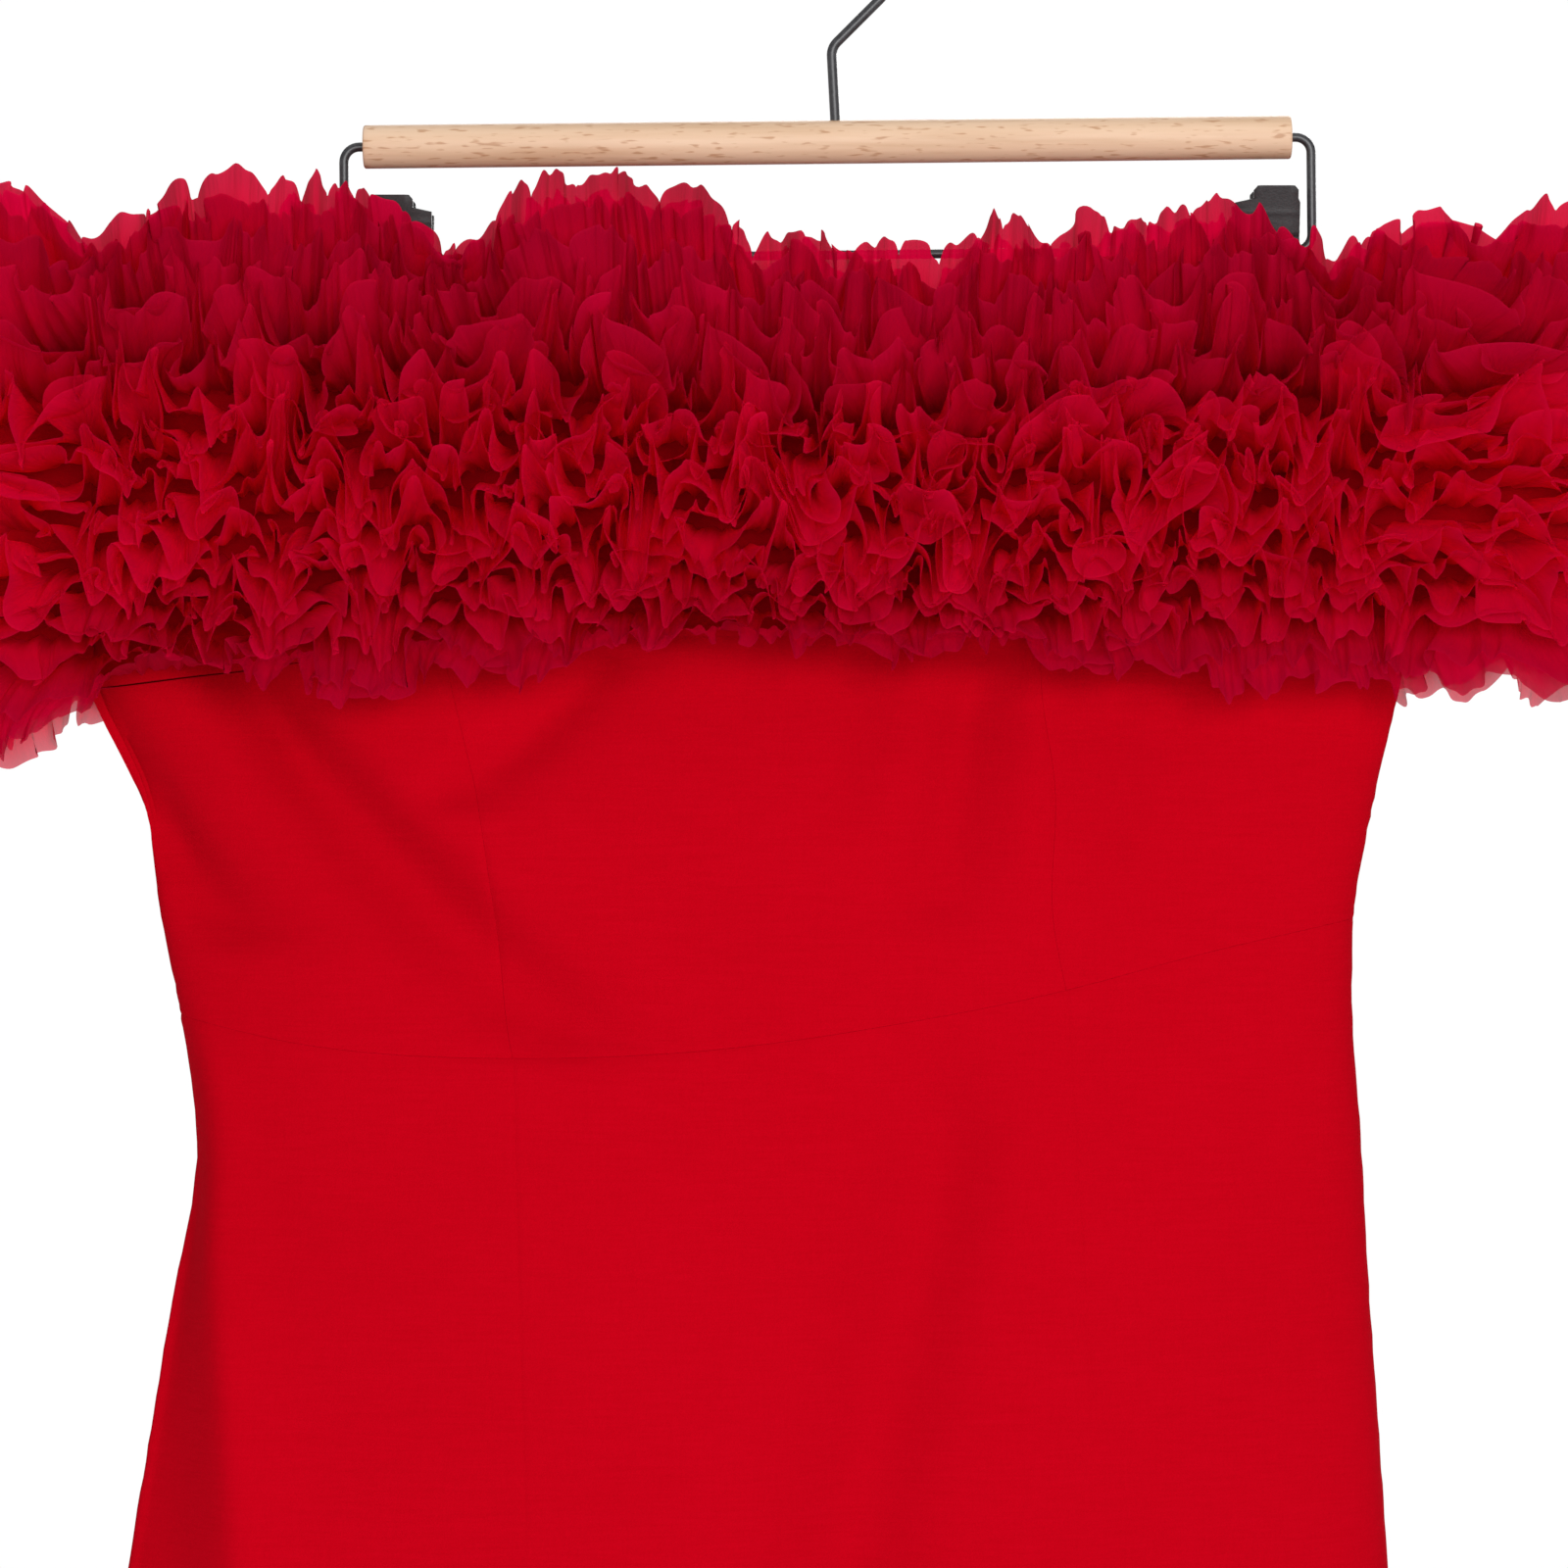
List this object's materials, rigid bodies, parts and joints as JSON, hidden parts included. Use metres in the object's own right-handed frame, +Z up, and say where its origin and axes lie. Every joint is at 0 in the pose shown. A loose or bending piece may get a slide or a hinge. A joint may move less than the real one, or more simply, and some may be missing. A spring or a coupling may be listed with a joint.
{
  "type": "off-shoulder mini dress on a clip hanger",
  "caption": "Fitted off-shoulder mini dress with a wide gathered ruffle band round the shoulders, hanging from a wooden bar hanger with clips.",
  "frame": {"origin": "inside of the hook's top, where a rail carries the hanger", "axes": "+Z up, +X to the right as seen from the front, the dress faces -Y"},
  "size_m": [0.7055, 0.1396, 0.8241],
  "materials": {
    "beech": "clear satin beech",
    "wire": "black satin coat",
    "clip": "black matt",
    "crepe": "matt red crepe",
    "tulle": "gathered dark red tulle",
    "zip": "red nylon coil"
  },
  "bodies": {
    "root": {"hanger_bar": "beech", "hanger_hook": "wire", "hanger_frame": "wire", "clip_left_front_jaw": "clip", "clip_left_back_jaw": "clip", "clip_right_front_jaw": "clip", "clip_right_back_jaw": "clip", "bodice_front_side_left": "crepe", "bodice_front_centre": "crepe", "bodice_front_side_right": "crepe", "bodice_back_right": "crepe", "bodice_back_left": "crepe", "skirt_front": "crepe", "skirt_back_right": "crepe", "skirt_back_left": "crepe", "band_back_left": "crepe", "sleeve_left": "crepe", "band_front": "crepe", "sleeve_right": "crepe", "band_back_right": "crepe", "ruffle_back_left_1": "tulle", "ruffle_back_left_2": "tulle", "ruffle_back_left_3": "tulle", "ruffle_back_left_4": "tulle", "ruffle_sleeve_left_1": "tulle", "ruffle_sleeve_left_2": "tulle", "ruffle_sleeve_left_3": "tulle", "ruffle_sleeve_left_4": "tulle", "ruffle_front_1": "tulle", "ruffle_front_2": "tulle", "ruffle_front_3": "tulle", "ruffle_front_4": "tulle", "ruffle_sleeve_right_1": "tulle", "ruffle_sleeve_right_2": "tulle", "ruffle_sleeve_right_3": "tulle", "ruffle_sleeve_right_4": "tulle", "ruffle_back_right_1": "tulle", "ruffle_back_right_2": "tulle", "ruffle_back_right_3": "tulle", "ruffle_back_right_4": "tulle", "zip_coil": "zip", "zip_slider": "zip"}
  },
  "joints": []
}
